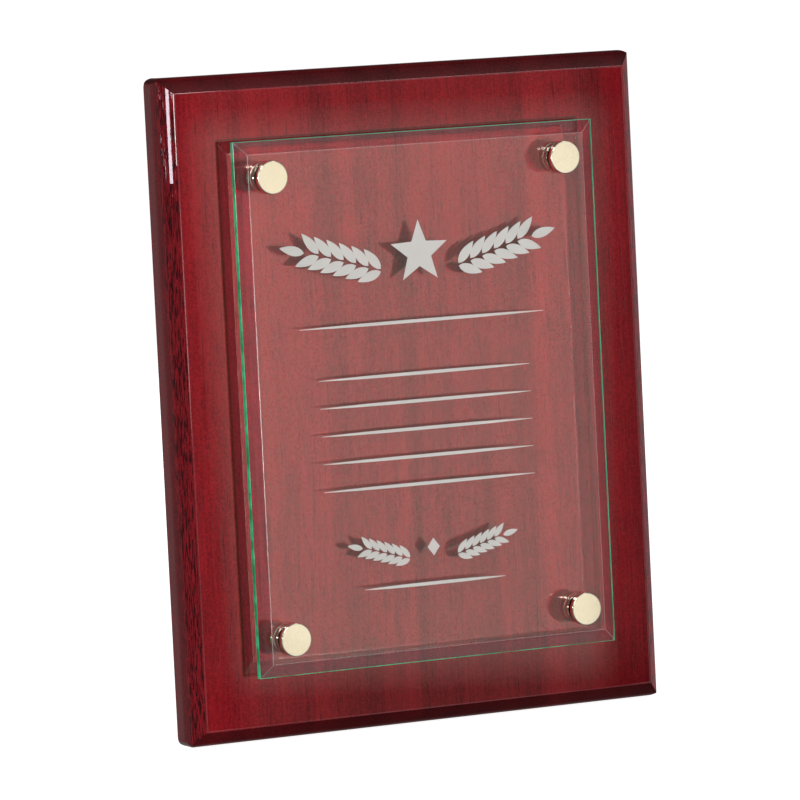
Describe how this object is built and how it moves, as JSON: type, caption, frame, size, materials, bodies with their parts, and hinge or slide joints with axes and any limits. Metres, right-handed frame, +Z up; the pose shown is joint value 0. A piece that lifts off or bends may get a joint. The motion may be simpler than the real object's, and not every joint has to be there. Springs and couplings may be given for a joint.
{
  "type": "wall plaque",
  "caption": "Wall plaque: a bevelled clear glass plate floats on gold standoffs in front of a glossy rosewood-red board; the caps unscrew and keyhole plates hang it upright or sideways.",
  "frame": {"origin": "centre of the back face of the board, on the wall", "axes": "+Y into the wall, so the front faces -Y; +Z up the height of the board; +X to the right seen from the front"},
  "size_m": [0.2032, 0.0276, 0.254],
  "materials": {
    "lacquered_wood": "high-gloss clear lacquer over rosewood-red veneer",
    "clear_glass": "polished float glass with green edges and a frosted ornament",
    "polished_gold": "mirror-polished gold plating",
    "clear_plastic": "clear soft plastic",
    "zinc_steel": "zinc-plated steel",
    "brass_plating": "brass-plated sheet steel"
  },
  "bodies": {
    "plaque": {"backing_board": "lacquered_wood", "glass_plate": "clear_glass", "glass_sleeve_top_left": "clear_plastic", "glass_sleeve_top_right": "clear_plastic", "glass_sleeve_bottom_left": "clear_plastic", "glass_sleeve_bottom_right": "clear_plastic", "barrel_washer_top_left": "clear_plastic", "barrel_washer_top_right": "clear_plastic", "barrel_washer_bottom_left": "clear_plastic", "barrel_washer_bottom_right": "clear_plastic", "standoff_barrel_top_left": "polished_gold", "standoff_barrel_top_right": "polished_gold", "standoff_barrel_bottom_left": "polished_gold", "standoff_barrel_bottom_right": "polished_gold", "back_screw_top_left": "zinc_steel", "back_screw_top_right": "zinc_steel", "back_screw_bottom_left": "zinc_steel", "back_screw_bottom_right": "zinc_steel", "screw_washer_top_left": "zinc_steel", "screw_washer_top_right": "zinc_steel", "screw_washer_bottom_left": "zinc_steel", "screw_washer_bottom_right": "zinc_steel", "keyhole_plate_upright": "brass_plating", "keyhole_plate_sideways": "brass_plating", "plate_screws_upright": "brass_plating", "plate_screws_sideways": "brass_plating"},
    "washer_top_left": {"cap_washer_top_left": "clear_plastic"},
    "cap_top_left": {"standoff_cap_top_left": "polished_gold"},
    "washer_top_right": {"cap_washer_top_right": "clear_plastic"},
    "cap_top_right": {"standoff_cap_top_right": "polished_gold"},
    "washer_bottom_left": {"cap_washer_bottom_left": "clear_plastic"},
    "cap_bottom_left": {"standoff_cap_bottom_left": "polished_gold"},
    "washer_bottom_right": {"cap_washer_bottom_right": "clear_plastic"},
    "cap_bottom_right": {"standoff_cap_bottom_right": "polished_gold"}
  },
  "joints": [
    {"name": "cap_travel_top_left", "type": "slide", "parent": "plaque", "child": "washer_top_left", "axis": [0, -1, 0], "range_m": [0, 0.0049]},
    {"name": "cap_unscrew_top_left", "type": "hinge", "parent": "washer_top_left", "child": "cap_top_left", "pos_m": [-0.0622, -0.0254, 0.0876], "axis": [0, -1, 0], "range_deg": [0, 2520.5]},
    {"name": "cap_travel_top_right", "type": "slide", "parent": "plaque", "child": "washer_top_right", "axis": [0, -1, 0], "range_m": [0, 0.0049]},
    {"name": "cap_unscrew_top_right", "type": "hinge", "parent": "washer_top_right", "child": "cap_top_right", "pos_m": [0.0622, -0.0254, 0.0876], "axis": [0, -1, 0], "range_deg": [0, 2520.5]},
    {"name": "cap_travel_bottom_left", "type": "slide", "parent": "plaque", "child": "washer_bottom_left", "axis": [0, -1, 0], "range_m": [0, 0.0049]},
    {"name": "cap_unscrew_bottom_left", "type": "hinge", "parent": "washer_bottom_left", "child": "cap_bottom_left", "pos_m": [-0.0622, -0.0254, -0.0876], "axis": [0, -1, 0], "range_deg": [0, 2520.5]},
    {"name": "cap_travel_bottom_right", "type": "slide", "parent": "plaque", "child": "washer_bottom_right", "axis": [0, -1, 0], "range_m": [0, 0.0049]},
    {"name": "cap_unscrew_bottom_right", "type": "hinge", "parent": "washer_bottom_right", "child": "cap_bottom_right", "pos_m": [0.0622, -0.0254, -0.0876], "axis": [0, -1, 0], "range_deg": [0, 2520.5]}
  ],
  "couplings": [
    {"joint": "cap_unscrew_top_left", "follows": "cap_travel_top_left", "rad_per_m": 8976},
    {"joint": "cap_unscrew_top_right", "follows": "cap_travel_top_right", "rad_per_m": 8976},
    {"joint": "cap_unscrew_bottom_left", "follows": "cap_travel_bottom_left", "rad_per_m": 8976},
    {"joint": "cap_unscrew_bottom_right", "follows": "cap_travel_bottom_right", "rad_per_m": 8976}
  ]
}
